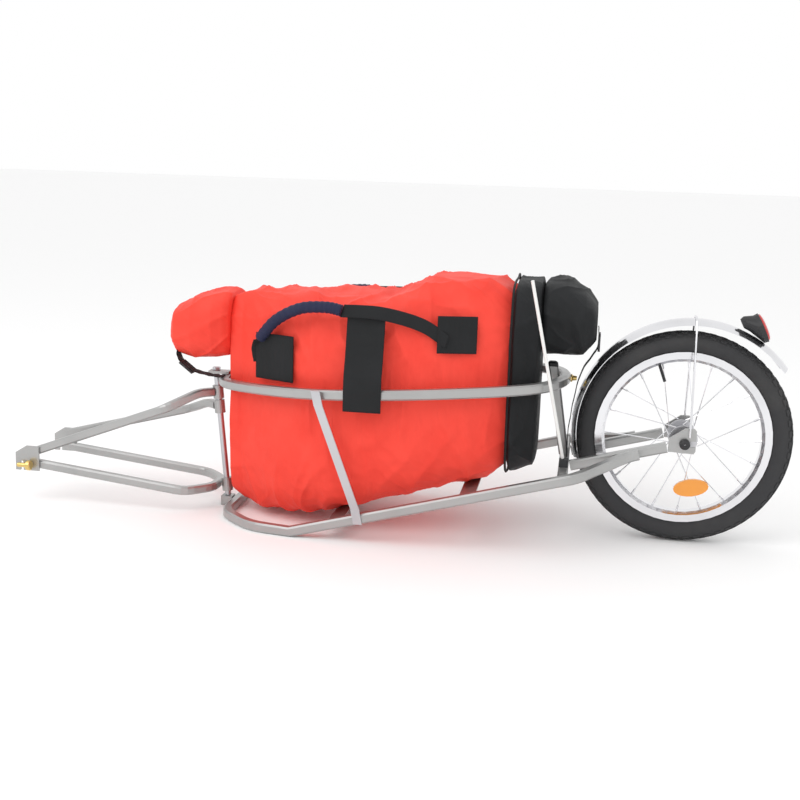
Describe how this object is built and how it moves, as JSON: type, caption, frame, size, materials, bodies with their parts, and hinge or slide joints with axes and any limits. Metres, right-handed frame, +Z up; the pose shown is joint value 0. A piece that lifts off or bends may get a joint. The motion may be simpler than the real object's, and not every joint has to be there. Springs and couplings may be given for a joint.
{
  "type": "bicycle cargo trailer",
  "caption": "Single-wheel bicycle cargo trailer: silver tube frame with a boat-shaped hoop, swivelling hitch fork, spoked rear wheel under a mudguard, and a red bag.",
  "frame": {"origin": "wheel contact point on the ground, below the axle", "axes": "+X to the rear, -Y the side seen in the picture, +Z up"},
  "size_m": [1.473, 0.3922, 0.4878],
  "materials": {
    "frame_paint": "silver paint, satin",
    "black_plastic": "moulded black plastic",
    "steel": "plain steel",
    "chrome": "polished chrome",
    "brass": "yellow passivated",
    "rubber": "tyre rubber",
    "tube_rubber": "soft rubber",
    "red_fabric": "orange-red coated woven fabric",
    "black_fabric": "black woven fabric",
    "blue_grip": "padded dark blue cover",
    "amber": "amber reflector",
    "red_lens": "red reflector",
    "white_rod": "white glass fibre"
  },
  "bodies": {
    "frame": {"floor_rail_near": "frame_paint", "floor_rail_far": "frame_paint", "floor_bar_front": "frame_paint", "floor_bar_rear": "frame_paint", "rear_cross_member": "frame_paint", "wheel_arm_near": "frame_paint", "wheel_arm_far": "frame_paint", "dropout_near": "frame_paint", "dropout_far": "frame_paint", "top_hoop": "frame_paint", "pivot_head_plate": "frame_paint", "pivot_foot": "frame_paint", "rear_post": "frame_paint", "rear_post_cap": "black_plastic", "fender_bracket": "black_plastic", "reflector_housing": "black_plastic", "axle_nut_near": "black_plastic", "axle_nut_far": "black_plastic", "pole_socket": "black_plastic", "side_brace_near": "steel", "side_brace_far": "steel", "axle": "steel", "axle_spacer_near": "steel", "axle_spacer_far": "steel", "pivot_rod": "steel", "pivot_nut": "steel", "fender": "chrome", "fender_stay": "chrome", "hoop_wing_bolt": "brass", "bag_body": "red_fabric", "bag_base": "red_fabric", "bag_front_roll": "red_fabric", "bag_rear_roll": "black_fabric", "centre_band_near": "black_fabric", "centre_band_far": "black_fabric", "rear_strap": "black_fabric", "handle_grip_near": "blue_grip", "handle_grip_far": "blue_grip", "reflector_lens": "red_lens", "flag_pole": "white_rod"},
    "fork": {"fork_arm_near": "frame_paint", "fork_arm_far": "frame_paint", "fork_lower": "frame_paint", "sleeve_near_arm": "frame_paint", "sleeve_far_arm": "frame_paint", "sleeve_lower": "frame_paint", "hitch_plate_near": "frame_paint", "hitch_plate_far": "frame_paint", "pin_guide_near": "frame_paint", "pin_guide_far": "frame_paint"},
    "wheel": {"tyre": "rubber", "inner_tube": "tube_rubber", "valve_stem": "tube_rubber", "spoked_rim": "chrome", "hub": "steel", "hub_bearing_near": "steel", "hub_bearing_far": "steel", "wheel_reflector": "amber"},
    "pin_near": {"lock_pin_near": "brass"},
    "pin_far": {"lock_pin_far": "brass"}
  },
  "joints": [
    {"name": "fork_swivel", "type": "hinge", "parent": "frame", "child": "fork", "pos_m": [-0.868, 0, 0], "axis": [-0.1011, 0, 0.9949], "range_deg": [-55, 55]},
    {"name": "wheel_spin", "type": "hinge", "parent": "frame", "child": "wheel", "pos_m": [0, 0, 0.198], "axis": [0, 1, 0], "continuous": true},
    {"name": "lock_pin_near_slide", "type": "slide", "parent": "fork", "child": "pin_near", "axis": [1, 0, 0], "range_m": [0, 0.008]},
    {"name": "lock_pin_far_slide", "type": "slide", "parent": "fork", "child": "pin_far", "axis": [1, 0, 0], "range_m": [0, 0.008]}
  ]
}
